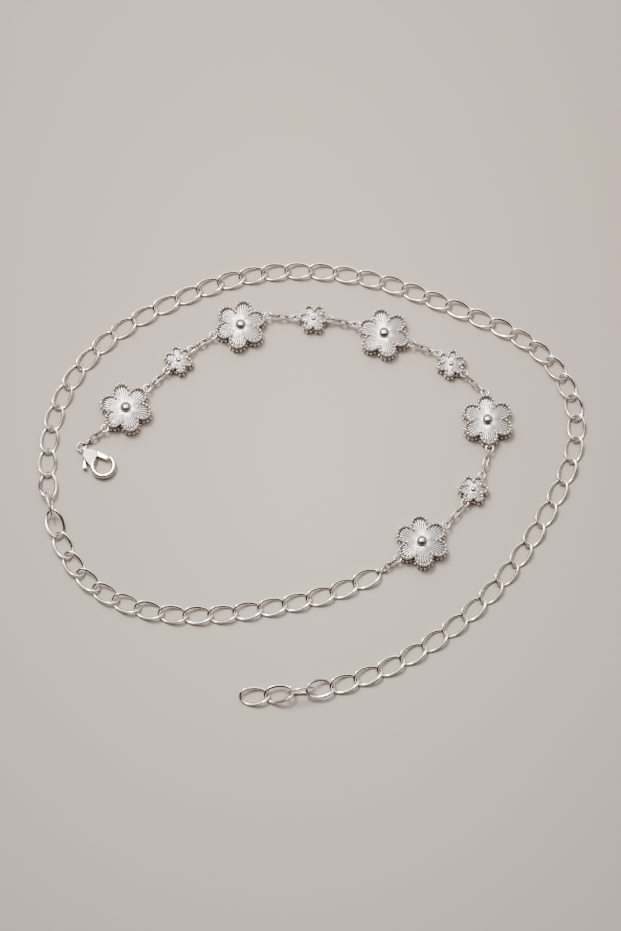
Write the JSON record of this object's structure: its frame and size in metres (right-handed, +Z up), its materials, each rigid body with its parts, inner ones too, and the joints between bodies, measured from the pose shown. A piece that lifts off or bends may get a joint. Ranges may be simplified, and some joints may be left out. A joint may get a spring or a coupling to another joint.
{
  "type": "waist chain",
  "caption": "Silver-coloured waist chain lying open in a spiral: large and small flower rosettes joined by short oval links, a long curb chain and a lobster clasp.",
  "frame": {"origin": "middle of the laid-out chain's box, on the surface it lies on", "axes": "+X to the picture's right and along the longer side of the layout, +Y to the picture's top, +Z up from the surface"},
  "size_m": [0.2108, 0.1791, 0.007],
  "materials": {
    "rosette_metal": "silver-coloured plating with polished edges, beads and domes and fine-lined satin faces",
    "link_metal": "polished silver-coloured plating",
    "clasp_metal": "tumble-polished cast silver-coloured metal"
  },
  "bodies": {
    "chain": {"rosette_large_1": "rosette_metal", "rosette_large_2": "rosette_metal", "rosette_large_3": "rosette_metal", "rosette_large_4": "rosette_metal", "rosette_large_5": "rosette_metal", "rosette_small_1": "rosette_metal", "rosette_small_2": "rosette_metal", "rosette_small_3": "rosette_metal", "rosette_small_4": "rosette_metal", "oval_link_01": "link_metal", "oval_link_02": "link_metal", "oval_link_03": "link_metal", "oval_link_04": "link_metal", "oval_link_05": "link_metal", "oval_link_06": "link_metal", "oval_link_07": "link_metal", "oval_link_08": "link_metal", "oval_link_09": "link_metal", "oval_link_10": "link_metal", "oval_link_11": "link_metal", "oval_link_12": "link_metal", "oval_link_13": "link_metal", "oval_link_14": "link_metal", "oval_link_15": "link_metal", "oval_link_16": "link_metal", "oval_link_17": "link_metal", "oval_link_18": "link_metal", "oval_link_19": "link_metal", "oval_link_20": "link_metal", "oval_link_21": "link_metal", "oval_link_22": "link_metal", "oval_link_23": "link_metal", "oval_link_24": "link_metal", "oval_link_25": "link_metal", "oval_link_26": "link_metal", "oval_link_27": "link_metal", "oval_link_28": "link_metal", "oval_link_29": "link_metal", "oval_link_30": "link_metal", "jump_ring": "link_metal", "clasp_body": "clasp_metal", "curb_chain_a": "link_metal", "curb_chain_b": "link_metal"},
    "lever": {"clasp_lever": "clasp_metal"}
  },
  "joints": [
    {"name": "clasp_lever_hinge", "type": "hinge", "parent": "chain", "child": "lever", "pos_m": [-0.08502, 0.00924, 0.0013], "axis": [0, 0, 1], "range_deg": [-20, 0], "stiffness_Nm_per_rad": 0.004, "springref_deg": 20.05}
  ]
}
